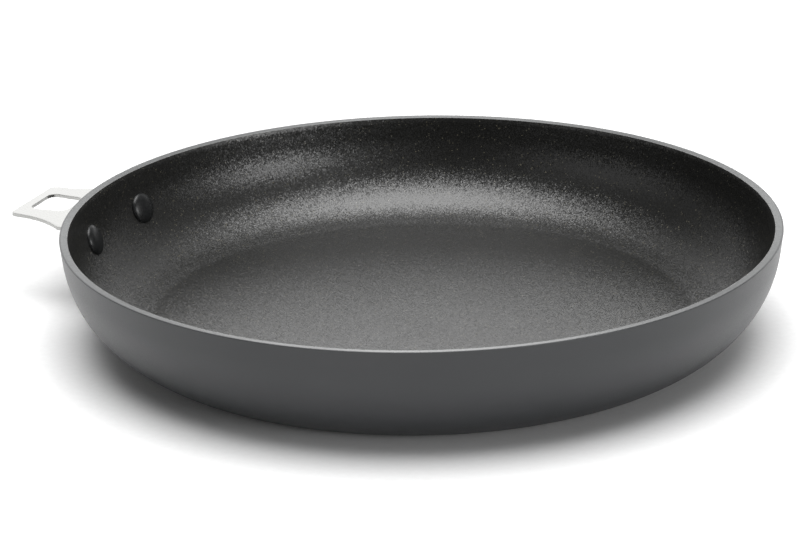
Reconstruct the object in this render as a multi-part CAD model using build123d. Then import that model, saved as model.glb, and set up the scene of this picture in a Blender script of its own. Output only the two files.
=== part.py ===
from build123d import *
import os
from math import asin, cos, degrees, pi, radians, sin, sqrt, tan

# A cast aluminium frying pan with a flat ground rim, a non-stick lining, a lacquered
# outside, a steel disc in its base and a riveted steel bracket for a clip-on handle.
# Millimetres and degrees. The origin is on the pan's axis, in the plane that it rests on.
# +Z is up, and the bracket's tongue points to -X.

# The dish, measured over its coatings
rim_diameter = 320.0
pan_height = 50.0
rim_thickness = 4.0
floor_height = 6.7
outer_corner_radius = 50.2
outer_base_slope = 20.0
outer_flare = 7.0
cove_radius = 35.0
crease_slope = 12.0
crease_slope_width = 6.0
crease_blend = 19.0
inner_flare = 2.7

# Coatings, and the edges of the ground rim
lining_thickness = 0.3
lacquer_thickness = 0.3
rim_outer_ease = 0.4
rim_inner_chamfer = 0.4
lacquer_edge_round = 0.2

# Steel disc in the base, keyed by aluminium pegs that fill its holes
base_ring_width = 11.0
disc_thickness = 1.2
disc_proud = 0.3
disc_gap = 0.1
disc_edge_chamfer = 0.25
peg_diameter = 5.0
peg_gap = 0.05
peg_ring_spacing = 21.0
peg_edge_margin = 8.0
pegs_added_per_ring = 6

# Handle bracket, bent from steel sheet
sheet_thickness = 1.5
bend_inside_radius = 1.2
bracket_gap = 0.1
tongue_drop = 12.0
tongue_reach = 37.0
tongue_end_width = 40.0
tongue_side_angle = 6.7
tongue_corner_radius = 2.2
shoulder_from_rim = 18.6
shoulder_angle = 36.5
shoulder_radius = 40.0
flange_width = 62.0
flange_depth = 18.0
flange_top_corner_radius = 6.0
flange_low_corner_radius = 7.0

# Window through the tongue
window_end_margin = 4.6
window_length = 18.0
window_outer_width = 22.4
window_inner_width = 20.0
window_corner_radius = 4.0

# Rivets that join the bracket to the dish, square to the inner wall
rivet_spacing = 48.0
rivet_drop = 18.7
shank_diameter = 5.0
shank_clearance = 0.1
inner_head_diameter = 14.4
inner_head_height = 2.9
inner_head_side = 0.6
head_coat_thickness = 0.3
outer_head_diameter = 9.0
outer_head_height = 2.2
outer_head_side = 0.7

rim_radius = rim_diameter / 2
tongue_top = pan_height - tongue_drop
handle_azimuth = 180.0
# How far a cutting tool runs past what it cuts
overrun = 12.0
# Share of a side that a round beside it may take
most_of_side = 0.95
# Shorter stretches of a wall than this are left out of its section
least_rise = 0.001


class Wall:
    """A surface about the axis: a plain slope up from its edge, an arc, then a straight flare.

    Where the arc is taller than the wall, the rim cuts it and there is no flare.
    """

    def __init__(self, top_radius, edge_height, slope_width, slope, arc_radius, flare):
        arc_low = edge_height + slope_width * tan(radians(slope))
        tallest = cos(radians(slope)) - (pan_height - arc_low) / arc_radius
        self.slope = radians(slope)
        self.flare = max(radians(flare), asin(tallest)) if tallest > 0 else radians(flare)
        self.top_radius = top_radius
        self.radius = arc_radius
        self.centre_z = arc_low + arc_radius * cos(self.slope)
        join_r = top_radius - (pan_height - self.join_z()) * tan(self.flare)
        self.centre_r = join_r - arc_radius * cos(self.flare)
        self.edge_radius = self.centre_r + arc_radius * sin(self.slope) - slope_width

    def arc_low(self, out=0.0):
        """Height at which the plain slope gives way to the arc."""
        return self.centre_z - (self.radius + out) * cos(self.slope)

    def join_z(self, out=0.0):
        """Height at which the arc gives way to the straight flare."""
        return self.centre_z - (self.radius + out) * sin(self.flare)

    def normal_angle(self, z, out=0.0):
        """Angle below the horizontal of the outward normal, at a height."""
        if z >= self.join_z(out):
            return self.flare
        if z <= self.arc_low(out):
            return pi / 2 - self.slope
        return asin((self.centre_z - z) / (self.radius + out))

    def r_at(self, z, out=0.0):
        """Radius at a height, with the surface moved outwards by a distance."""
        if z > self.join_z(out):
            return self.top_radius + out / cos(self.flare) - (pan_height - z) * tan(self.flare)
        on_arc = self.centre_r + (self.radius + out) * cos(self.normal_angle(z, out))
        return on_arc - max(self.arc_low(out) - z, 0.0) / tan(self.slope)

    def point(self, z, out=0.0):
        return (self.r_at(z, out), z)

    def edges(self, low, high, out=0.0):
        """Slope, arc and flare, each as far as it lies between two heights."""
        arc_low = self.arc_low(out)
        join = self.join_z(out)
        turns = [z for z in (arc_low, join) if low + least_rise < z < high - least_rise]
        heights = [low, *turns, high]
        made = []
        for bottom, top in zip(heights, heights[1:]):
            if arc_low < (bottom + top) / 2 < join:
                first = self.normal_angle(bottom, out)
                last = self.normal_angle(top, out)
                middle = (first + last) / 2
                reach = self.radius + out
                between = (self.centre_r + reach * cos(middle), self.centre_z - reach * sin(middle))
                made.append(ThreePointArc(self.point(bottom, out), between, self.point(top, out)))
            else:
                made.append(Line(self.point(bottom, out), self.point(top, out)))
        return made


outside = Wall(rim_radius, disc_proud, 0.0, outer_base_slope, outer_corner_radius, outer_flare)
inside = Wall(rim_radius - rim_thickness, floor_height, crease_slope_width, crease_slope, cove_radius, inner_flare)
base_radius = outside.edge_radius
cooking_radius = inside.edge_radius
disc_radius = base_radius - base_ring_width

# Where the chamfer of the rim starts on the lining, and where it meets the metal
chamfer_low = pan_height - rim_inner_chamfer
chamfer_low_radius = inside.r_at(chamfer_low)
chamfer_at_metal = lining_thickness / (cos(inside.flare) - sin(inside.flare))


def chain(*points):
    return [Line(start, end) for start, end in zip(points, points[1:])]


def turned(*edges, rounds=()):
    """Solid of revolution from the edges of its half section, as radius and height."""
    face = make_face(edges).face()
    for corner, radius in rounds:
        vertex = face.vertices().sort_by_distance(corner)[0]
        face = face.fillet_2d(radius, [vertex])
    return revolve(Plane.XZ * face, Axis.Z)


def rounded_plate(*corners):
    """Face from corners given as x, y and the radius that rounds them."""
    points = [(x, y) for x, y, _ in corners]
    return make_face(FilletPolyline(*points, radius=[radius for *_, radius in corners], close=True))


def beyond(wall, out=0.0):
    """Ring of space outside a wall surface, above the floor."""
    far = rim_radius + overrun
    low = wall.point(floor_height, out)
    high = wall.point(pan_height, out)
    edges = wall.edges(floor_height, pan_height, out)
    return turned(*edges, *chain(high, (far, pan_height), (far, floor_height), low))


def peg_places():
    """Centres of the disc's holes, on rings about the axis."""
    rings = int((disc_radius - peg_edge_margin) / peg_ring_spacing)
    for ring in range(1, rings + 1):
        yield from PolarLocations(ring * peg_ring_spacing, pegs_added_per_ring * ring)


def make_lining():
    """Non-stick coating over the floor and the inner wall."""
    back = floor_height - lining_thickness
    metal_z = chamfer_low + chamfer_at_metal
    back_edge = (inside.r_at(back, lining_thickness), back)
    crease = (cooking_radius, floor_height)
    lining = turned(
        *chain((0, floor_height), crease),
        *inside.edges(floor_height, chamfer_low),
        Line((chamfer_low_radius, chamfer_low), (inside.r_at(metal_z, lining_thickness), metal_z)),
        *inside.edges(back, metal_z, lining_thickness),
        *chain(back_edge, (0, back), (0, floor_height)),
        rounds=[(crease, crease_blend)],
    )
    return lining - rivet_bores()


def make_body():
    """Cast dish: floor, tapering wall and ground rim, with the seat and pegs of the disc."""
    back = floor_height - lining_thickness
    metal_z = chamfer_low + chamfer_at_metal
    ease_z = pan_height - rim_outer_ease
    skin = -lacquer_thickness
    seat_radius = disc_radius + disc_gap
    dish = turned(
        *chain((0, back), (inside.r_at(back, lining_thickness), back)),
        *inside.edges(back, metal_z, lining_thickness),
        *chain(
            (inside.r_at(metal_z, lining_thickness), metal_z),
            (chamfer_low_radius + rim_inner_chamfer, pan_height),
            (outside.r_at(ease_z, skin) - rim_outer_ease, pan_height),
            (outside.r_at(ease_z, skin), ease_z),
        ),
        *outside.edges(disc_proud, ease_z, skin),
        *chain(
            (outside.r_at(disc_proud, skin), disc_proud),
            (seat_radius, disc_proud),
            (seat_radius, disc_thickness),
            (0, disc_thickness),
            (0, back),
        ),
    )
    low = (Align.CENTER, Align.CENTER, Align.MIN)
    peg = Cylinder(peg_diameter / 2 - peg_gap, back - disc_proud, align=low)
    pegs = [place * Pos(Z=disc_proud) * peg for place in peg_places()]
    return dish + pegs - rivet_bores()


def make_lacquer():
    """Paint on the outer wall, up to the ground rim."""
    ease_z = pan_height - rim_outer_ease
    skin = -lacquer_thickness
    lip = (rim_radius, pan_height)
    ease = (outside.r_at(ease_z, skin), ease_z)
    lacquer = turned(
        *outside.edges(disc_proud, pan_height),
        *chain(lip, (ease[0] - rim_outer_ease, pan_height), ease),
        *outside.edges(disc_proud, ease_z, skin),
        Line((outside.r_at(disc_proud, skin), disc_proud), (base_radius, disc_proud)),
        rounds=[(lip, lacquer_edge_round)],
    )
    return lacquer - rivet_bores()


def make_disc():
    """Steel disc under the floor, holed where the pegs of the dish hold it."""
    low = (Align.CENTER, Align.CENTER, Align.MIN)
    disc = Cylinder(disc_radius, disc_thickness, align=low)
    holes = [place * Cylinder(peg_diameter / 2, disc_thickness, align=low) for place in peg_places()]
    rim = disc.edges().group_by(Axis.Z)[0]
    return chamfer(rim, disc_edge_chamfer) - holes


def bent_sheet():
    """Flange on the wall, bend and level tongue, turned about the pan's axis."""
    near = bracket_gap
    far = near + sheet_thickness
    under = tongue_top - sheet_thickness
    low = tongue_top - flange_depth
    tip = rim_radius + tongue_reach + overrun
    # The bend is about a point a bend radius below the tongue and outside the flange
    bend_z = under - bend_inside_radius
    bend_r, _ = outside.point(bend_z, far + bend_inside_radius)
    tilt = outside.normal_angle(bend_z, far + bend_inside_radius)

    def bend(radius):
        angles = (radians(90), radians(135) - tilt / 2, radians(180) - tilt)
        return [(bend_r + radius * cos(a), bend_z + radius * sin(a)) for a in angles]

    outer_bend = bend(bend_inside_radius + sheet_thickness)
    inner_bend = bend(bend_inside_radius)
    face = make_face(
        [
            *outside.edges(low, outer_bend[-1][1], near),
            ThreePointArc(*outer_bend),
            *chain((bend_r, tongue_top), (tip, tongue_top), (tip, under), (bend_r, under)),
            ThreePointArc(*inner_bend),
            *outside.edges(low, inner_bend[-1][1], far),
            Line(outside.point(low, far), outside.point(low, near)),
        ]
    )
    half_turn = degrees(asin((flange_width + overrun) / 2 / base_radius))
    return Rot(Z=-half_turn) * revolve(Plane.XZ * face, Axis.Z, 2 * half_turn)


def tongue_plan():
    """Outline of the bracket seen from above, pointing to +X."""
    tip = rim_radius + tongue_reach
    waist = rim_radius + shoulder_from_rim
    half_end = tongue_end_width / 2
    half_waist = half_end + (tip - waist) * tan(radians(tongue_side_angle))
    half_root = flange_width / 2
    root = waist - (half_root - half_waist) / tan(radians(shoulder_angle))
    inner = base_radius
    # The shoulder's round takes most of the side between waist and root, and never all of it
    side_length = (half_root - half_waist) / sin(radians(shoulder_angle))
    root_reach = flange_top_corner_radius * tan(radians(shoulder_angle / 2))
    shoulder_turn = radians(shoulder_angle - tongue_side_angle)
    widest_round = most_of_side * (side_length - root_reach) / tan(shoulder_turn / 2)
    side = [
        (tip, half_end, tongue_corner_radius),
        (waist, half_waist, min(shoulder_radius, widest_round)),
        (root, half_root, flange_top_corner_radius),
        (inner, half_root, 0),
    ]
    return rounded_plate(*side, *((x, -y, radius) for x, y, radius in reversed(side)))


def window_plan():
    """Outline of the window in the tongue."""
    outer = rim_radius + tongue_reach - window_end_margin
    inner = outer - window_length
    ends = [(outer, window_outer_width / 2), (inner, window_inner_width / 2)]
    corners = [(x, y, window_corner_radius) for x, y in ends]
    return rounded_plate(*corners, *((x, -y, radius) for x, y, radius in reversed(corners)))


def flange_front():
    """Outline of the bracket seen along the tongue, as width and height."""
    half = flange_width / 2
    low = tongue_top - flange_depth
    high = tongue_top + overrun
    corners = [
        (-half, low, flange_low_corner_radius),
        (half, low, flange_low_corner_radius),
        (half, high, 0),
        (-half, high, 0),
    ]
    return rounded_plate(*corners)


def make_bracket():
    """Handle bracket: curved flange, bend, and tongue with its window."""
    tip = rim_radius + tongue_reach + overrun
    plan = extrude(tongue_plan(), pan_height)
    window = extrude(window_plan(), pan_height)
    front = extrude(Plane.YZ * flange_front(), tip)
    bracket = (bent_sheet() & plan & front) - window
    return Rot(Z=handle_azimuth) * bracket - rivet_bores()


def rivet_planes():
    """Planes on the lining where the rivets' axes cross it, each facing out of the dish."""
    height = pan_height - rivet_drop
    radius = inside.r_at(height)
    tilt = inside.normal_angle(height)
    swing = degrees(asin(rivet_spacing / 2 / radius))
    for azimuth in (handle_azimuth - swing, handle_azimuth + swing):
        out = (cos(tilt) * cos(radians(azimuth)), cos(tilt) * sin(radians(azimuth)), -sin(tilt))
        foot = (radius * cos(radians(azimuth)), radius * sin(radians(azimuth)), height)
        along = (-sin(radians(azimuth)), cos(radians(azimuth)), 0)
        yield Plane(origin=foot, x_dir=along, z_dir=out)


def rivet_grip():
    """Length of a rivet's axis from the lining to the outer face of the flange."""
    height = pan_height - rivet_drop
    tilt = inside.normal_angle(height)
    dr = inside.r_at(height) - outside.centre_r
    dz = height - outside.centre_z
    along = dr * cos(tilt) - dz * sin(tilt)
    reach = outside.radius + bracket_gap + sheet_thickness
    return sqrt(along**2 - dr**2 - dz**2 + reach**2) - along


def rivet_bores():
    """Holes for both rivets, through every layer."""
    bore = Cylinder(shank_diameter / 2 + shank_clearance, rivet_grip() + 2 * overrun)
    return [plane.location * Pos(Z=rivet_grip() / 2) * bore for plane in rivet_planes()]


def domed(radius, height, side):
    """Round head that rises to -Z from its seat, with a skirt to be cut to the seat's shape."""
    skirt = side + height
    rise = height - side
    bulge = (radius**2 + rise**2) / (2 * rise)
    middle = (radius / 2, -height + bulge - sqrt(bulge**2 - radius**2 / 4))
    return turned(
        ThreePointArc((0, -height), middle, (radius, -side)),
        *chain((radius, -side), (radius, skirt), (0, skirt), (0, -height)),
    )


def make_rivet(plane):
    """Rivet with its inner head on the lining and its formed head on the flange."""
    coat = head_coat_thickness
    head = domed(inner_head_diameter / 2 - coat, inner_head_height - coat, inner_head_side)
    grip = rivet_grip()
    shank = Cylinder(shank_diameter / 2, grip, align=(Align.CENTER, Align.CENTER, Align.MIN))
    formed = Pos(Z=grip) * Rot(X=180) * domed(outer_head_diameter / 2, outer_head_height, outer_head_side)
    head = plane.location * head - beyond(inside)
    formed = plane.location * formed & beyond(outside, bracket_gap + sheet_thickness)
    return head + plane.location * (Pos(Z=-inner_head_side) * shank) + plane.location * shank + formed


def make_head_coat(plane):
    """Non-stick cap over a rivet's inner head."""
    coat = head_coat_thickness
    radius = inner_head_diameter / 2
    cap = domed(radius, inner_head_height, inner_head_side)
    cap -= domed(radius - coat, inner_head_height - coat, inner_head_side)
    return plane.location * cap - beyond(inside)


def save(name, solid):
    export_step(solid, f"parts/{name}.step")
    print(name, "volume", round(solid.volume, 1), "solids", len(solid.solids()))


os.makedirs("parts", exist_ok=True)
save("pan_body", make_body())
save("nonstick_lining", make_lining())
save("outer_lacquer", make_lacquer())
save("base_disc", make_disc())
save("handle_bracket", make_bracket())
for side, plane in zip(("left", "right"), rivet_planes()):
    save(f"rivet_{side}", make_rivet(plane))
    save(f"rivet_coat_{side}", make_head_coat(plane))
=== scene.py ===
import functools
import math
import bpy
import numpy as np
from mathutils import Matrix, Vector


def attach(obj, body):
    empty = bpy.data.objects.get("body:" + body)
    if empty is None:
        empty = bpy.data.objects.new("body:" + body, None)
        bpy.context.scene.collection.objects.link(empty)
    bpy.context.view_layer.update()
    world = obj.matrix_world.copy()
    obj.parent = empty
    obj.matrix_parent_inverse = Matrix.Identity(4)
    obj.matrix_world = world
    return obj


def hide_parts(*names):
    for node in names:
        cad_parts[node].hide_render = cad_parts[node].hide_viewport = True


# A frying pan with a ground rim, a speckled lining and a steel tongue for a clip-on handle.
# Metres and degrees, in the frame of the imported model: +Z up, the tongue towards -X, the table
# at z = 0.

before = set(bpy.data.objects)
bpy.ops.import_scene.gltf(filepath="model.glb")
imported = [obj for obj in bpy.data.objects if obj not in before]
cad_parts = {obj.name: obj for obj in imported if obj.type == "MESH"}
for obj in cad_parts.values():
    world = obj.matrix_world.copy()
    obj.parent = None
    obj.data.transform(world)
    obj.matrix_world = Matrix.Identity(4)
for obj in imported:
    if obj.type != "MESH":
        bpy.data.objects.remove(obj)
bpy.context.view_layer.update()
MM = 0.001

# The dish, over its coatings
RIM_RADIUS = 160.0 * MM
PAN_HEIGHT = 50.0 * MM
RIM_THICKNESS = 4.0 * MM
FLOOR_HEIGHT = 6.7 * MM
BASE_HEIGHT = 0.3 * MM
OUTER_BASE_SLOPE = 20.0
OUTER_CORNER_RADIUS = 50.2 * MM
OUTER_FLARE = 7.0
COVE_RADIUS = 35.0 * MM
CREASE_SLOPE = 12.0
CREASE_SLOPE_WIDTH = 6.0 * MM
CREASE_BLEND = 19.0 * MM
INNER_FLARE = 2.7
COAT = 0.3 * MM

# The ground rim: its land falls in towards the dish, and the wall leans out a little below it
RIM_EASE = 0.4 * MM
LACQUER_ROUND = 0.35 * MM
LAND_DROP = 0.25 * MM
LIP_HEIGHT = 1.5 * MM
LIP_WIDTH = 0.4 * MM

# The base
BASE_RING_WIDTH = 11.0 * MM
DISC_THICKNESS = 1.2 * MM
DISC_GAP = 0.1 * MM
PEG_RADIUS = 2.45 * MM
PEG_RING_SPACING = 21.0 * MM
PEG_RINGS = 5
PEGS_ADDED_PER_RING = 6

# The handle bracket
SHEET = 1.5 * MM
BEND_INSIDE = 1.2 * MM
BRACKET_GAP = 0.1 * MM
TONGUE_TOP = 38.0 * MM
TONGUE_TIP = 197.0 * MM
TONGUE_END_HALF = 20.0 * MM
TONGUE_CORNER = 2.2 * MM
TONGUE_SLOPE = math.tan(math.radians(6.7))
SHOULDER_AT = 178.6 * MM
SHOULDER_SLOPE = math.tan(math.radians(36.5))
SHOULDER_RADIUS = 40.0 * MM
ROOT_HALF = 31.0 * MM
ROOT_CORNER = 6.0 * MM
FLANGE_LOW = 20.0 * MM
FLANGE_CORNER = 7.0 * MM
WINDOW_OUTER = 192.4 * MM
WINDOW_LENGTH = 18.0 * MM
WINDOW_OUTER_HALF = 11.2 * MM
WINDOW_INNER_HALF = 10.0 * MM
WINDOW_CORNER = 4.0 * MM
CUT_EDGE = 0.42 * MM
# The tongue's root goes from round to straight over this run
STRAIGHTENING = 1.0 * MM
# Faces across each side band of the sheet, and across the window between them
BAND_FACES = 14
WINDOW_FACES = 16

# The rivets: an inner head has a radius and a height, an outer one also a straight side
RIVET_SPACING = 48.0 * MM
RIVET_HEIGHT = 31.3 * MM
SHANK_RADIUS = 2.5 * MM
INNER_HEAD = (7.2 * MM, 2.9 * MM)
INNER_HEAD_EXPONENT = 2.4
OUTER_HEAD = (4.5 * MM, 2.2 * MM, 0.7 * MM)
OUTER_HEAD_ROUND = 0.35 * MM
SHANK_START = 0.5 * MM
SHANK_SHORT_OF_GRIP = 1.0 * MM

# Steps round the dish, a rivet and a peg, passes that seat a head, and a length too small to matter
TURN_STEPS = 512
RIVET_STEPS = 64
PEG_STEPS = 32
SEATING_PASSES = 8
TINY = 1e-9


class Wall:
    """Half section of a wall: a plain slope up from the edge, an arc, and a straight flare."""

    def __init__(self, top_radius, edge_height, slope_width, slope, arc_radius, flare):
        self.flare = math.radians(flare)
        self.slope = math.radians(slope)
        self.top_radius = top_radius
        self.radius = arc_radius
        arc_foot = edge_height + slope_width * math.tan(self.slope)
        self.centre_z = arc_foot + arc_radius * math.cos(self.slope)
        join_z = self.centre_z - arc_radius * math.sin(self.flare)
        join_r = top_radius - (PAN_HEIGHT - join_z) * math.tan(self.flare)
        self.centre_r = join_r - arc_radius * math.cos(self.flare)
        self.edge_radius = self.centre_r + arc_radius * math.sin(self.slope) - slope_width

    def angle(self, z, out=0.0):
        """Angle below the horizontal of the outward normal: arcsine on the arc, constant off it."""
        sine = (self.centre_z - np.asarray(z)) / (self.radius + out)
        return np.arcsin(np.clip(sine, math.sin(self.flare), math.cos(self.slope)))

    def radius_at(self, z, out=0.0):
        """Arc's cosine up to the join, less the run of the slope below it, and the flare above."""
        z = np.asarray(z)
        reach = self.radius + out
        low = self.centre_z - reach * math.cos(self.slope)
        join = self.centre_z - reach * math.sin(self.flare)
        arc = self.centre_r + reach * np.cos(self.angle(z, out))
        arc -= np.maximum(low - z, 0) / math.tan(self.slope)
        line = self.top_radius + out / math.cos(self.flare) - (PAN_HEIGHT - z) * math.tan(self.flare)
        return np.where(z < join, arc, line)

    def rise(self, low, high, out=0.0, steps=56):
        """Points from low to high: even heights off the arc, and on it even angles of the normal."""
        reach = self.radius + out
        join = self.centre_z - reach * math.sin(self.flare)
        arc_low = max(low, self.centre_z - reach * math.cos(self.slope))
        angles = np.linspace(self.angle(arc_low, out), self.flare, steps)
        foot = np.linspace(low, arc_low, 6)[:-1] if arc_low > low + 0.01 * MM else []
        z = np.concatenate([foot, self.centre_z - reach * np.sin(angles[:-1]), np.linspace(join, high, 10)])
        return np.column_stack([self.radius_at(z, out), z])


outside = Wall(RIM_RADIUS, BASE_HEIGHT, 0.0, OUTER_BASE_SLOPE, OUTER_CORNER_RADIUS, OUTER_FLARE)
inside = Wall(
    RIM_RADIUS - RIM_THICKNESS, FLOOR_HEIGHT, CREASE_SLOPE_WIDTH, CREASE_SLOPE, COVE_RADIUS, INNER_FLARE
)


def softened(points, corners, radius, steps=5):
    """Profile with its named corners cut to a quadratic curve that leaves each side at a radius."""
    made = []
    for i, p in enumerate(points):
        if i not in corners:
            made.append(p)
            continue
        before, after = points[i - 1] - p, points[(i + 1) % len(points)] - p
        start = p + before / np.linalg.norm(before) * radius
        end = p + after / np.linalg.norm(after) * radius
        t = np.linspace(0, 1, steps)[:, None]
        made.extend((1 - t) ** 2 * start + 2 * t * (1 - t) * p + t**2 * end)
    return np.array(made)


def mesh_object(name, points, faces, material, slot, sharp=40.0):
    """A smooth-shaded mesh, sharp where faces meet at more than an angle, that rides on the root."""
    mesh = bpy.data.meshes.new(name)
    mesh.from_pydata(np.asarray(points).tolist(), [], faces)
    mesh.validate()
    mesh.shade_smooth()
    mesh.set_sharp_from_angle(angle=math.radians(sharp))
    mesh.materials.append(material)
    piece = bpy.data.objects.new(name, mesh)
    bpy.context.scene.collection.objects.link(piece)
    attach(piece, "root")
    return piece


def turned_shape(profile, steps, closed):
    """Points and faces of a profile carried round +Z: (r, z) becomes (r cos a, r sin a, z).

    A profile goes so that the solid lies on its left. It is closed on itself, or runs from the
    axis to the axis, where its two ends become poles.
    """
    angle = np.linspace(0, 2 * np.pi, steps, endpoint=False)
    body = profile if closed else profile[1:-1]
    rings = len(body)
    points = np.stack(
        [
            np.outer(body[:, 0], np.cos(angle)),
            np.outer(body[:, 0], np.sin(angle)),
            np.repeat(body[:, 1:], steps, axis=1),
        ],
        axis=-1,
    ).reshape(-1, 3)
    row = np.arange(rings if closed else rings - 1)[:, None] * steps
    above = (row + steps) % (rings * steps)
    column = np.arange(steps)
    beside = (column + 1) % steps
    quads = np.stack([row + column, row + beside, above + beside, above + column], axis=-1).reshape(-1, 4)
    faces = quads.tolist()
    if not closed:
        first, last = len(points), len(points) + 1
        points = np.vstack([points, [0, 0, profile[0, 1]], [0, 0, profile[-1, 1]]])
        top = (rings - 1) * steps
        faces += np.column_stack([np.full(steps, first), beside, column]).tolist()
        faces += np.column_stack([np.full(steps, last), top + column, top + beside]).tolist()
    return points, faces


def joined(shapes):
    """One list of points and faces from several."""
    points, faces, start = [], [], 0
    for shape_points, shape_faces in shapes:
        points.append(shape_points)
        faces += [[start + i for i in face] for face in shape_faces]
        start += len(shape_points)
    return np.vstack(points), faces


# Finishes


def linear(hex_colour):
    """sRGB hex to linear RGBA, with the sRGB curve undone on red, green and blue."""
    parts = [int(hex_colour[i : i + 2], 16) / 255 for i in (1, 3, 5)]
    return [c / 12.92 if c <= 0.04045 else ((c + 0.055) / 1.055) ** 2.4 for c in parts] + [1.0]


def add_node(tree, kind, sockets=(), **attributes):
    """Adds a node and returns its outputs.

    Its sockets, by name or in their order, get a value or a link from another node's output.
    """
    node = tree.nodes.new("ShaderNode" + kind)
    for name, value in attributes.items():
        setattr(node, name, value)
    for socket, value in sockets.items() if isinstance(sockets, dict) else enumerate(sockets):
        if isinstance(value, bpy.types.NodeSocket):
            tree.links.new(value, node.inputs[socket])
        else:
            node.inputs[socket].default_value = value
    return node.outputs


class Finish:
    """A node material: its shader, its way to add nodes, and each point's place on the object."""

    def __init__(self, name, colour, metallic, roughness, **settings):
        self.material = bpy.data.materials.new(name)
        self.material.use_nodes = True
        self.tree = self.material.node_tree
        self.shader = self.tree.nodes["Principled BSDF"]
        self.shader.inputs["Base Color"].default_value = linear(colour)
        self.shader.inputs["Metallic"].default_value = metallic
        self.shader.inputs["Roughness"].default_value = roughness
        for socket, value in settings.items():
            self.shader.inputs[socket.replace("_", " ")].default_value = value
        self.add = functools.partial(add_node, self.tree)
        self.place = self.add("TexCoord")["Object"]

    def shade(self, **sources):
        """Links outputs to the shader's sockets."""
        for socket, source in sources.items():
            self.tree.links.new(source, self.shader.inputs[socket.replace("_", " ")])

    def two_tones(self, pattern, low, high, first, second, most=1.0):
        """Colour that goes from the first to the second, or most of the way, over a pattern's range."""
        share = self.add("MapRange", (pattern, low, high, 0.0, most))["Result"]
        ends = [linear(end) if isinstance(end, str) else end for end in (first, second)]
        return self.add("Mix", {"Factor": share, 6: ends[0], 7: ends[1]}, data_type="RGBA")[2]

    def round_place(self, out, around, up):
        """Place for turned marks: radius, angle and height about the axis, each times its factor."""
        split = self.add("SeparateXYZ", [self.place])
        squares = [self.add("Math", (split[axis], 2.0), operation="POWER")[0] for axis in "XY"]
        total = self.add("Math", squares, operation="ADD")[0]
        radius = self.add("Math", [total], operation="SQRT")[0]
        angle = self.add("Math", (split["Y"], split["X"]), operation="ARCTAN2")[0]
        parts = ((radius, out), (angle, around), (split["Z"], up))
        scaled = [self.add("Math", part, operation="MULTIPLY")[0] for part in parts]
        return self.add("CombineXYZ", scaled)["Vector"]


def speckled_nonstick():
    """Fluoropolymer coating with mica: near black, each flake tilted its own way so that it glints."""
    f = Finish("speckled_nonstick", "#1b1b1a", 0.0, 0.4, Specular_IOR_Level=0.8)
    # Flakes of about 0.45 mm, coarser than the real ones so that they show
    flakes = f.add("TexVoronoi", {"Vector": f.place, "Scale": 1 / (0.45 * MM)})["Color"]
    chance = f.add("SeparateColor", [flakes])[2]
    fine = {"Vector": f.place, "Scale": 1 / (0.9 * MM), "Detail": 1.5, "Roughness": 0.6}
    grains = f.add("TexNoise", fine)["Fac"]
    patches = f.add("TexNoise", {"Vector": f.place, "Scale": 1 / (40 * MM), "Detail": 3.0})["Fac"]
    base = f.two_tones(grains, 0.35, 0.7, "#191918", "#21211f")
    # The normal leans by a flake's random colour, whose middle grey means upright
    upright = f.add("Bump", {"Height": grains, "Strength": 0.3, "Distance": 0.1 * MM})["Normal"]
    lean = f.add("VectorMath", (flakes, (0.5, 0.5, 0.5)), operation="SUBTRACT")[0]
    small = f.add("VectorMath", {0: lean, "Scale": 0.26}, operation="SCALE")[0]
    leaned = f.add("VectorMath", (small, upright), operation="ADD")[0]
    f.shade(
        Base_Color=f.two_tones(chance, 0.985, 0.995, base, "#8f8974", 0.4),
        Roughness=f.add("MapRange", (patches, 0.3, 0.7, 0.3, 0.34))["Result"],
        Normal=f.add("VectorMath", [leaned], operation="NORMALIZE")[0],
    )
    return f.material


def satin_lacquer():
    """Baked silicone-polyester paint: dark grey and even, with a faint orange peel."""
    f = Finish("satin_lacquer", "#2b2c2e", 0.0, 0.38)
    peel = f.add("TexNoise", {"Vector": f.place, "Scale": 1 / (1.6 * MM)})["Fac"]
    specks = f.add("TexNoise", {"Vector": f.place, "Scale": 1 / (0.5 * MM), "Detail": 1.0})["Fac"]
    broad = f.add("TexNoise", {"Vector": f.place, "Scale": 1 / (60 * MM)})["Fac"]
    f.shade(
        Base_Color=f.two_tones(broad, 0.3, 0.7, "#292b2d", "#2f3032"),
        Roughness=f.add("MapRange", (specks, 0.3, 0.7, 0.34, 0.42))["Result"],
        Normal=f.add("Bump", {"Height": peel, "Strength": 0.1, "Distance": 0.1 * MM})["Normal"],
    )
    return f.material


def ground_aluminium():
    """Cast aluminium ground flat: dull grey metal with fine marks that run round the rim."""
    f = Finish("ground_aluminium", "#727373", 1.0, 0.42, Anisotropic=0.8)
    # Marks 0.35 mm apart, coarser than the grit's so that they show
    place = f.round_place(out=1 / (0.35 * MM), around=6.0, up=1 / (2 * MM))
    marks = f.add("TexNoise", {"Vector": place, "Scale": 1.0, "Detail": 3.0, "Roughness": 0.7})["Fac"]
    fine = {"Vector": f.place, "Scale": 1 / (1.2 * MM), "Detail": 3.0, "Roughness": 0.6}
    pits = f.add("TexNoise", fine)["Fac"]
    f.shade(
        Base_Color=f.two_tones(pits, 0.25, 0.75, "#696a6a", "#7b7c7c"),
        Roughness=f.add("MapRange", (marks, 0.3, 0.7, 0.36, 0.48))["Result"],
        Normal=f.add("Bump", {"Height": marks, "Strength": 0.3, "Distance": 0.05 * MM})["Normal"],
        Tangent=f.add("Tangent", direction_type="RADIAL", axis="Z")[0],
    )
    return f.material


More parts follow.
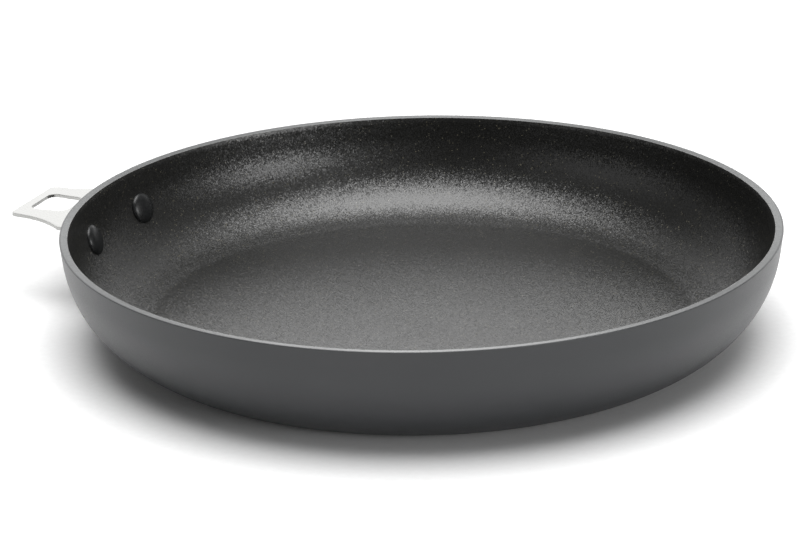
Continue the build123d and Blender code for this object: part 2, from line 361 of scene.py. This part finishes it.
def bracket_stainless():
    """Cold-rolled stainless sheet: pale, smooth and only faintly grained along the tongue."""
    f = Finish("bracket_stainless", "#a9a9a7", 1.0, 0.26)
    # Grain 0.5 mm wide, coarser than a rolling mill's so that it shows, and drawn out along X
    stretched = f.add("Mapping", {"Vector": f.place, "Scale": (0.08, 1.0, 1.0)})["Vector"]
    fine = {"Vector": stretched, "Scale": 1 / (0.5 * MM), "Detail": 3.0, "Roughness": 0.6}
    grain = f.add("TexNoise", fine)["Fac"]
    f.shade(
        Base_Color=f.two_tones(grain, 0.3, 0.7, "#a5a5a3", "#adadab"),
        Roughness=f.add("MapRange", (grain, 0.3, 0.7, 0.24, 0.3))["Result"],
        Normal=f.add("Bump", {"Height": grain, "Strength": 0.04, "Distance": 0.03 * MM})["Normal"],
    )
    return f.material


def disc_steel():
    """Ferritic steel disc, rolled and spun: concentric fine marks, faintly straw-toned."""
    f = Finish("disc_steel", "#b7b6b2", 1.0, 0.36)
    # Marks 0.6 mm apart, coarser than the tool's so that they show
    place = f.round_place(out=1 / (0.6 * MM), around=3.0, up=0.0)
    marks = f.add("TexNoise", {"Vector": place, "Scale": 1.0, "Detail": 4.0, "Roughness": 0.7})["Fac"]
    broad = f.add("TexNoise", {"Vector": f.place, "Scale": 1 / (35 * MM), "Detail": 3.0})["Fac"]
    f.shade(
        Base_Color=f.two_tones(broad, 0.3, 0.7, "#adaca8", "#c0bfbb"),
        Roughness=f.add("MapRange", (marks, 0.3, 0.7, 0.28, 0.42))["Result"],
        Normal=f.add("Bump", {"Height": marks, "Strength": 0.25, "Distance": 0.06 * MM})["Normal"],
    )
    return f.material


def rivet_aluminium():
    """Upset aluminium: soft metal with light hammer marks."""
    f = Finish("rivet_aluminium", "#bcbcbb", 1.0, 0.32)
    dents = f.add("TexNoise", {"Vector": f.place, "Scale": 1 / (1.5 * MM)})["Fac"]
    f.shade(
        Base_Color=f.two_tones(dents, 0.3, 0.7, "#a9a9a8", "#c8c8c7"),
        Roughness=f.add("MapRange", (dents, 0.3, 0.7, 0.26, 0.4))["Result"],
        Normal=f.add("Bump", {"Height": dents, "Strength": 0.3, "Distance": 0.1 * MM})["Normal"],
    )
    return f.material


def head_coating():
    """Thick sprayed coat on the rivet heads: smoother and glossier than the wall's."""
    f = Finish("head_coating", "#1b1c1d", 0.0, 0.3)
    peel = f.add("TexNoise", {"Vector": f.place, "Scale": 1 / (1.3 * MM)})["Fac"]
    f.shade(
        Base_Color=f.two_tones(peel, 0.3, 0.7, "#181919", "#202122"),
        Roughness=f.add("MapRange", (peel, 0.3, 0.7, 0.27, 0.36))["Result"],
        Normal=f.add("Bump", {"Height": peel, "Strength": 0.15, "Distance": 0.15 * MM})["Normal"],
    )
    return f.material


nonstick = speckled_nonstick()
lacquer = satin_lacquer()
aluminium = ground_aluminium()
stainless = bracket_stainless()
disc_finish = disc_steel()
rivet_metal = rivet_aluminium()
head_coat = head_coating()

# The dish's three layers

LIP_LOW = PAN_HEIGHT - LAND_DROP - LIP_HEIGHT
EASE_LOW = PAN_HEIGHT - RIM_EASE
EASE_RADIUS = float(outside.radius_at(EASE_LOW, -COAT))
DISC_RADIUS = outside.edge_radius - BASE_RING_WIDTH


def flat_rings(first, last, height, count):
    """Points of a level stretch from one radius to another."""
    return np.column_stack([np.linspace(first, last, count), np.full(count, height)])


def crease_curve(steps=9):
    """Arc that joins the floor to the cove, tangent to both."""
    slope = math.radians(CREASE_SLOPE)
    reach = CREASE_BLEND * math.tan(slope / 2)
    angle = np.linspace(0, slope, steps)
    r = inside.edge_radius - reach + CREASE_BLEND * np.sin(angle)
    return np.column_stack([r, FLOOR_HEIGHT + CREASE_BLEND * (1 - np.cos(angle))])


def lipped(wall):
    """Wall profile carried on to the ground land, leaning out over its last stretch."""
    return np.vstack([wall, wall[-1] + [LIP_WIDTH, LIP_HEIGHT]])


def make_lining():
    """Shell between the cooking surface and its back, cut level with the land's inner edge."""
    back = FLOOR_HEIGHT - COAT
    crease = crease_curve()
    above_crease = crease[-1, 1] + 0.05 * MM
    wall = lipped(inside.rise(above_crease, LIP_LOW, steps=90))
    back_wall = lipped(inside.rise(back, LIP_LOW, COAT))
    top = np.vstack([flat_rings(0.0, crease[0, 0], FLOOR_HEIGHT, 8)[:-1], crease, wall])
    under = np.vstack([back_wall[::-1], flat_rings(back_wall[0, 0], 0.0, back, 4)[1:]])
    profile = np.vstack([under[::-1], top[::-1]])
    return turned_shape(profile, TURN_STEPS, closed=False)


def make_lacquer():
    """Shell over the outer wall, wrapped over the eased edge of the rim."""
    face = outside.rise(BASE_HEIGHT, PAN_HEIGHT)
    back = outside.rise(BASE_HEIGHT, EASE_LOW, -COAT)
    lip = [[EASE_RADIUS - RIM_EASE, PAN_HEIGHT]]
    profile = np.vstack([face, lip, back[::-1]])
    profile = softened(profile, {len(face) - 1}, LACQUER_ROUND)
    return turned_shape(profile, TURN_STEPS, closed=True)


def make_body():
    """Casting between the two coats: ground rim, tapering wall, floor and base ring."""
    back = FLOOR_HEIGHT - COAT
    seat = DISC_RADIUS + DISC_GAP
    inner = lipped(inside.rise(back, LIP_LOW, COAT))
    outer = outside.rise(BASE_HEIGHT, EASE_LOW, -COAT)
    land = [[EASE_RADIUS - RIM_EASE, PAN_HEIGHT]]
    base = np.vstack([flat_rings(0.0, seat, DISC_THICKNESS, 6), [[seat, BASE_HEIGHT]]])
    profile = np.vstack([base, outer, land, inner[::-1], flat_rings(inner[0, 0], 0.0, back, 6)[1:]])
    return turned_shape(profile, TURN_STEPS, closed=False)


def make_pegs():
    """Round pegs on rings about the axis, flush with the base ring, one upright prism each."""
    shapes = []
    top = 2 * DISC_THICKNESS
    side = np.array([[0, BASE_HEIGHT], [PEG_RADIUS, BASE_HEIGHT], [PEG_RADIUS, top], [0, top]])
    peg, faces = turned_shape(side, PEG_STEPS, closed=False)
    for ring in range(1, PEG_RINGS + 1):
        count = PEGS_ADDED_PER_RING * ring
        turns = np.arange(count) * 2 * np.pi / count
        for turn in turns:
            place = ring * PEG_RING_SPACING * np.array([math.cos(turn), math.sin(turn), 0])
            shapes.append((peg + place, faces))
    return joined(shapes)


lining_piece = mesh_object("nonstick_surface", *make_lining(), nonstick, "nonstick_coating", sharp=30)
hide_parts("nonstick_lining")
lacquer_piece = mesh_object("lacquer_surface", *make_lacquer(), lacquer, "grey_lacquer", sharp=50)
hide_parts("outer_lacquer")
casting = joined([make_body(), make_pegs()])
body_piece = mesh_object("cast_dish", *casting, aluminium, "cast_aluminium", sharp=30)
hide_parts("pan_body")

# The bracket


def rounded_in(gap, radius):
    """How far a side draws in at a distance from an end whose corner is rounded."""
    inside_corner = np.clip(radius - gap, 0, radius)
    return radius - np.sqrt(radius**2 - inside_corner**2)


def tongue_half_width(x):
    """Half width of the sheet at a distance from the pan's axis.

    Two straight sides meet at the shoulder, joined by a circular arc, with rounded ends.
    """
    shoulder = TONGUE_END_HALF + (TONGUE_TIP - SHOULDER_AT) * TONGUE_SLOPE
    tongue_side = TONGUE_END_HALF + (TONGUE_TIP - x) * TONGUE_SLOPE
    root_side = shoulder + (SHOULDER_AT - x) * SHOULDER_SLOPE
    lean, spread = math.atan(TONGUE_SLOPE), math.atan(SHOULDER_SLOPE)
    reach = SHOULDER_RADIUS * math.tan((spread - lean) / 2)
    # The arc's centre lies square to the tongue's side, off the point where the arc leaves it
    start_x = SHOULDER_AT + reach * math.cos(lean)
    start_y = shoulder - reach * math.sin(lean)
    centre_x = start_x + SHOULDER_RADIUS * math.sin(lean)
    centre_y = start_y + SHOULDER_RADIUS * math.cos(lean)
    end_x = SHOULDER_AT - reach * math.cos(spread)
    arc = centre_y - np.sqrt(np.maximum(SHOULDER_RADIUS**2 - (x - centre_x) ** 2, 0))
    side = np.where(x > start_x, tongue_side, np.where(x > end_x, arc, root_side))
    # A smooth minimum stands for the rounded corner at the root
    soft = ROOT_CORNER * math.tan(spread / 2) * math.sin(spread) / 2
    side = (side + ROOT_HALF - np.sqrt((side - ROOT_HALF) ** 2 + soft**2)) / 2
    return np.minimum(side, ROOT_HALF) - rounded_in(TONGUE_TIP - x, TONGUE_CORNER)


def window_half_width(x):
    """Half width of the window at a distance from the axis: an even taper, less its rounded corners."""
    inner = WINDOW_OUTER - WINDOW_LENGTH
    held = np.clip(x, inner, WINDOW_OUTER)
    share = (held - inner) / WINDOW_LENGTH
    half = WINDOW_INNER_HALF + share * (WINDOW_OUTER_HALF - WINDOW_INNER_HALF)
    drawn = rounded_in(held - inner, WINDOW_CORNER) + rounded_in(WINDOW_OUTER - held, WINDOW_CORNER)
    return half - drawn


def eased(first, last, count):
    """Steps that crowd towards both ends, as a cosine does."""
    return first + (last - first) * (1 - np.cos(np.linspace(0, np.pi, count))) / 2


def bracket_rows():
    """Middle surface of the sheet as rows: a distance out and a height at mid width, a half
    width, a share of the wall's roundness and a flag for the window."""
    middle = BRACKET_GAP + SHEET / 2
    bend_out = BRACKET_GAP + SHEET + BEND_INSIDE
    bend_z = TONGUE_TOP - SHEET - BEND_INSIDE
    bend_r = float(outside.radius_at(bend_z, bend_out))
    tilt = float(outside.angle(bend_z, bend_out))
    radius = BEND_INSIDE + SHEET / 2
    turn = np.linspace(math.pi - tilt, math.pi / 2, 12)
    z = eased(FLANGE_LOW, bend_z + radius * math.sin(tilt), 30)[:-1]
    flange = np.column_stack([outside.radius_at(z, middle), z])
    bend = np.column_stack([bend_r + radius * np.cos(turn), bend_z + radius * np.sin(turn)])
    inner = WINDOW_OUTER - WINDOW_LENGTH
    flat_from = bend_r + STRAIGHTENING
    x = np.concatenate(
        [
            np.linspace(bend_r, flat_from, 4)[1:],
            np.linspace(flat_from, inner, 16)[1:],
            eased(inner, WINDOW_OUTER, 34)[1:],
            eased(WINDOW_OUTER, TONGUE_TIP, 16)[1:],
        ]
    )
    level = np.column_stack([x, np.full(len(x), TONGUE_TOP - SHEET / 2)])
    path = np.vstack([flange, bend, level])
    half = np.full(len(path), ROOT_HALF)
    half[: len(flange)] -= rounded_in(z - FLANGE_LOW, FLANGE_CORNER)
    half[-len(x) :] = tongue_half_width(x)
    roundness = np.ones(len(path))
    roundness[-len(x) :] = np.clip((flat_from - x) / (flat_from - bend_r), 0, 1)
    window = np.zeros(len(path), bool)
    window[-len(x) :] = (x >= inner - TINY) & (x < WINDOW_OUTER - TINY)
    hole = np.full(len(path), float(window_half_width(inner)))
    hole[-len(x) :] = window_half_width(x)
    return path, half, roundness, window, hole


def make_bracket():
    """Grid across the rows: three bands, of which the middle one is left out at the window.

    A row's x is the root of r squared less y squared where it follows the wall, and r on the tongue.
    """
    path, half, roundness, window, hole = bracket_rows()
    side, middle = np.linspace(0, 1, BAND_FACES + 1), np.linspace(-1, 1, WINDOW_FACES + 1)
    across = np.hstack(
        [
            -half[:, None] + (half - hole)[:, None] * side[:-1],
            hole[:, None] * middle,
            hole[:, None] + (half - hole)[:, None] * side[1:],
        ]
    )
    r = path[:, :1]
    bowed = np.sqrt(np.maximum(r**2 - across**2, 0))
    x = bowed * roundness[:, None] + r * (1 - roundness[:, None])
    z = np.repeat(path[:, 1:], across.shape[1], axis=1)
    points = np.stack([-x, across, z], axis=-1).reshape(-1, 3)
    rows, columns = across.shape
    i, j = np.meshgrid(np.arange(rows - 1), np.arange(columns - 1), indexing="ij")
    kept = ~(window[:-1, None] & (j >= BAND_FACES) & (j < BAND_FACES + WINDOW_FACES))
    corner = (i * columns + j)[kept]
    quads = np.column_stack([corner, corner + 1, corner + columns + 1, corner + columns])
    used = np.unique(quads)
    return points[used], np.searchsorted(used, quads).tolist()


bracket_piece = mesh_object("steel_tongue", *make_bracket(), stainless, "bracket_steel")
sheet = bracket_piece.modifiers.new("sheet", "SOLIDIFY")
sheet.thickness = SHEET
sheet.offset = 0.0
sheet.use_even_offset = True
edges = bracket_piece.modifiers.new("cut_edges", "BEVEL")
edges.width = CUT_EDGE
edges.segments = 3
edges.limit_method = "ANGLE"
edges.angle_limit = math.radians(50)
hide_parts("handle_bracket")

# The rivets


def rivet_frames():
    """Matrices whose origin is on the lining and whose +Z leaves the dish along each rivet."""
    radius = float(inside.radius_at(RIVET_HEIGHT))
    tilt = float(inside.angle(RIVET_HEIGHT))
    swing = math.asin(RIVET_SPACING / 2 / radius)
    for side, turn in (("left", math.pi - swing), ("right", math.pi + swing)):
        out = Vector((math.cos(tilt) * math.cos(turn), math.cos(tilt) * math.sin(turn), -math.sin(tilt)))
        along = Vector((-math.sin(turn), math.cos(turn), 0))
        basis = Matrix((along, out.cross(along), out)).transposed()
        foot = np.array([radius * math.cos(turn), radius * math.sin(turn), RIVET_HEIGHT])
        yield side, np.array(basis), foot


def rivet_grip():
    """Length along a rivet from the lining to the outside of the flange, from the arc's circle."""
    tilt = float(inside.angle(RIVET_HEIGHT))
    dr = float(inside.radius_at(RIVET_HEIGHT)) - outside.centre_r
    dz = RIVET_HEIGHT - outside.centre_z
    along = dr * math.cos(tilt) - dz * math.sin(tilt)
    reach = outside.radius + BRACKET_GAP + SHEET
    return math.sqrt(along**2 - dr**2 - dz**2 + reach**2) - along


def button(radius, height, steps=40):
    """Half section of a flat-topped round head, a superellipse from top to foot."""
    angle = np.linspace(0, np.pi / 2, steps)
    share = 2 / INNER_HEAD_EXPONENT
    return np.column_stack([radius * np.sin(angle) ** share, -height * np.cos(angle) ** share])


def dome(radius, height, side, steps=22):
    """Half section of a round head: an arc from its top on the axis, and a straight side."""
    rise = height - side
    bulge = (radius**2 + rise**2) / (2 * rise)
    angle = np.linspace(0, math.asin(radius / bulge), steps)
    cap = np.column_stack([bulge * np.sin(angle), bulge * (1 - np.cos(angle)) - height])
    profile = np.vstack([cap, [[radius, 0.0]]])
    return softened(profile, {len(cap) - 1}, OUTER_HEAD_ROUND)


def seated(points, basis, foot, wall, out, moved):
    """Slides the marked points along the rivet until they lie on a wall surface.

    Each pass moves a point by its radial distance from the wall times the cosine of the flare,
    and the passes bring that distance to nothing.
    """
    for _ in range(SEATING_PASSES):
        world = points @ basis.T + foot
        radius = np.hypot(world[:, 0], world[:, 1])
        off = radius - wall.radius_at(world[:, 2], out)
        points[:, 2] -= np.where(moved, off * math.cos(wall.flare), 0.0)
    return points @ basis.T + foot


def make_head_coat(basis, foot):
    """Cap over the inner head, with its foot on the lining."""
    profile = np.vstack([button(*INNER_HEAD), [[0.0, 0.0]]])
    points, faces = turned_shape(profile, RIVET_STEPS, closed=False)
    return seated(points, basis, foot, inside, 0.0, points[:, 2] > -TINY), faces


def make_rivet(basis, foot):
    """Shank and formed head, with the head's foot on the flange."""
    grip = rivet_grip()
    shank_end = grip - SHANK_SHORT_OF_GRIP
    shank = np.array([[0.0, SHANK_START], [SHANK_RADIUS, SHANK_START], [SHANK_RADIUS, shank_end]])
    head = dome(*OUTER_HEAD)[::-1] * [1, -1] + [0, grip]
    points, faces = turned_shape(np.vstack([shank, head]), RIVET_STEPS, closed=False)
    foot_ring = (abs(points[:, 2] - grip) < TINY) & (np.hypot(points[:, 0], points[:, 1]) > SHANK_RADIUS)
    return seated(points, basis, foot, outside, BRACKET_GAP + SHEET, foot_ring), faces


for side, basis, foot in rivet_frames():
    cap = mesh_object(f"coated_head_{side}", *make_head_coat(basis, foot), head_coat, "head_coating")
    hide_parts(f"rivet_coat_{side}")
    rivet = mesh_object(f"formed_rivet_{side}", *make_rivet(basis, foot), rivet_metal, "rivet_metal")
    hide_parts(f"rivet_{side}")

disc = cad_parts["base_disc"]
disc.data.materials.clear()
disc.data.materials.append(disc_finish)

# Camera: fitted to the rim, the outlines and the floor's crease in the photograph

VIEW_TURN = 23.15
VIEW_REACH = 1460.2 * MM
VIEW_HEIGHT = 553.7 * MM
VIEW_DOWN = 19.750
VIEW_YAW = 0.379
VIEW_ROLL = -1.131
LENS_MM = 156.75
SENSOR_MM = 36.0

camera_data = bpy.data.cameras.new("camera")
camera_data.lens = LENS_MM
camera_data.sensor_width = SENSOR_MM
camera = bpy.data.objects.new("camera", camera_data)
bpy.context.scene.collection.objects.link(camera)
turn = math.radians(VIEW_TURN)
camera.matrix_world = (
    Matrix.Translation((VIEW_REACH * math.sin(turn), -VIEW_REACH * math.cos(turn), VIEW_HEIGHT))
    @ Matrix.Rotation(math.radians(VIEW_TURN + VIEW_YAW), 4, "Z")
    @ Matrix.Rotation(math.radians(90 - VIEW_DOWN), 4, "X")
    @ Matrix.Rotation(math.radians(VIEW_ROLL), 4, "Z")
)
bpy.context.scene.camera = camera

# Table and surroundings

TABLE_HALF = 6.0

# Soft boxes: degrees left of the camera's heading, degrees up, degrees from the middle to where
# the light ends, and strength at the middle
SOFT_BOXES = (
    (0, 90, 36, 7.3),  # overhead
    (-60, 58, 38, 0.37),  # high, ahead and to the right
    (0, 58, 38, 0.37),  # high, ahead
    (180, 58, 38, 0.14),  # high, behind the camera
    (0, 31, 38, 0.6),  # upper part of the lit backdrop
    (0, 6, 38, 1.6),  # lower part of the lit backdrop
    (-30, 6, 38, 1.1),  # backdrop, right
    (30, 6, 38, 0.95),  # backdrop, left
    (-60, 6, 38, 0.1),  # low, right
    (-120, 6, 38, 1.0),  # low, right of the camera
    (-130, 12, 16, 7.0),  # small and bright, right of the camera
    (-150, 6, 38, 0.5),  # low, close to the camera's right
    (90, 6, 38, 0.25),  # low, left
    (120, 6, 38, 0.67),  # low, left of the camera
)


def table_finish():
    """Matt white laminate: even, with a faint mottle 3 mm across."""
    f = Finish("table_laminate", "#fafafa", 0.0, 0.9)
    mottle = f.add("TexNoise", {"Vector": f.place, "Scale": 1 / (3 * MM)})["Fac"]
    f.shade(Base_Color=f.two_tones(mottle, 0.3, 0.7, "#f8f8f8", "#fcfcfc"))
    return f.material


def make_table():
    """A level square at the height that the pan rests on."""
    mesh = bpy.data.meshes.new("table")
    corners = [(x * TABLE_HALF, y * TABLE_HALF, 0) for x, y in ((-1, -1), (1, -1), (1, 1), (-1, 1))]
    mesh.from_pydata(corners, [], [(0, 1, 2, 3)])
    mesh.materials.append(table_finish())
    table = bpy.data.objects.new("table", mesh)
    bpy.context.scene.collection.objects.link(table)


def make_world():
    """White to camera rays and transmission rays. To all others, a dark room with soft boxes, each
    of which fades as a smooth step of the cosine of the angle from its middle."""
    world = bpy.data.worlds.new("studio")
    bpy.context.scene.world = world
    world.use_nodes = True
    world.node_tree.nodes.clear()
    add = functools.partial(add_node, world.node_tree)
    direction = add("TexCoord")["Generated"]
    room = 0.0
    for left, up, reach, strength in SOFT_BOXES:
        aside, rise = turn + math.radians(left), math.radians(up)
        middle = (-math.sin(aside) * math.cos(rise), math.cos(aside) * math.cos(rise), math.sin(rise))
        near = add("VectorMath", (direction, middle), operation="DOT_PRODUCT")["Value"]
        fade = {"Value": near, "From Min": math.cos(math.radians(reach)), "From Max": 1.0}
        lit = add("MapRange", fade, interpolation_type="SMOOTHSTEP")["Result"]
        room = add("Math", (lit, strength, room), operation="MULTIPLY_ADD")[0]
    paths = add("LightPath")
    straight = (paths["Is Camera Ray"], paths["Is Transmission Ray"])
    white = add("Math", straight, operation="MAXIMUM")[0]
    level = add("Mix", {0: white, 2: room, 3: 1.0}, data_type="FLOAT")[0]
    add("OutputWorld", [add("Background", {"Strength": level})[0]])


make_table()
make_world()

view = bpy.context.scene.view_settings
view.view_transform = "Standard"
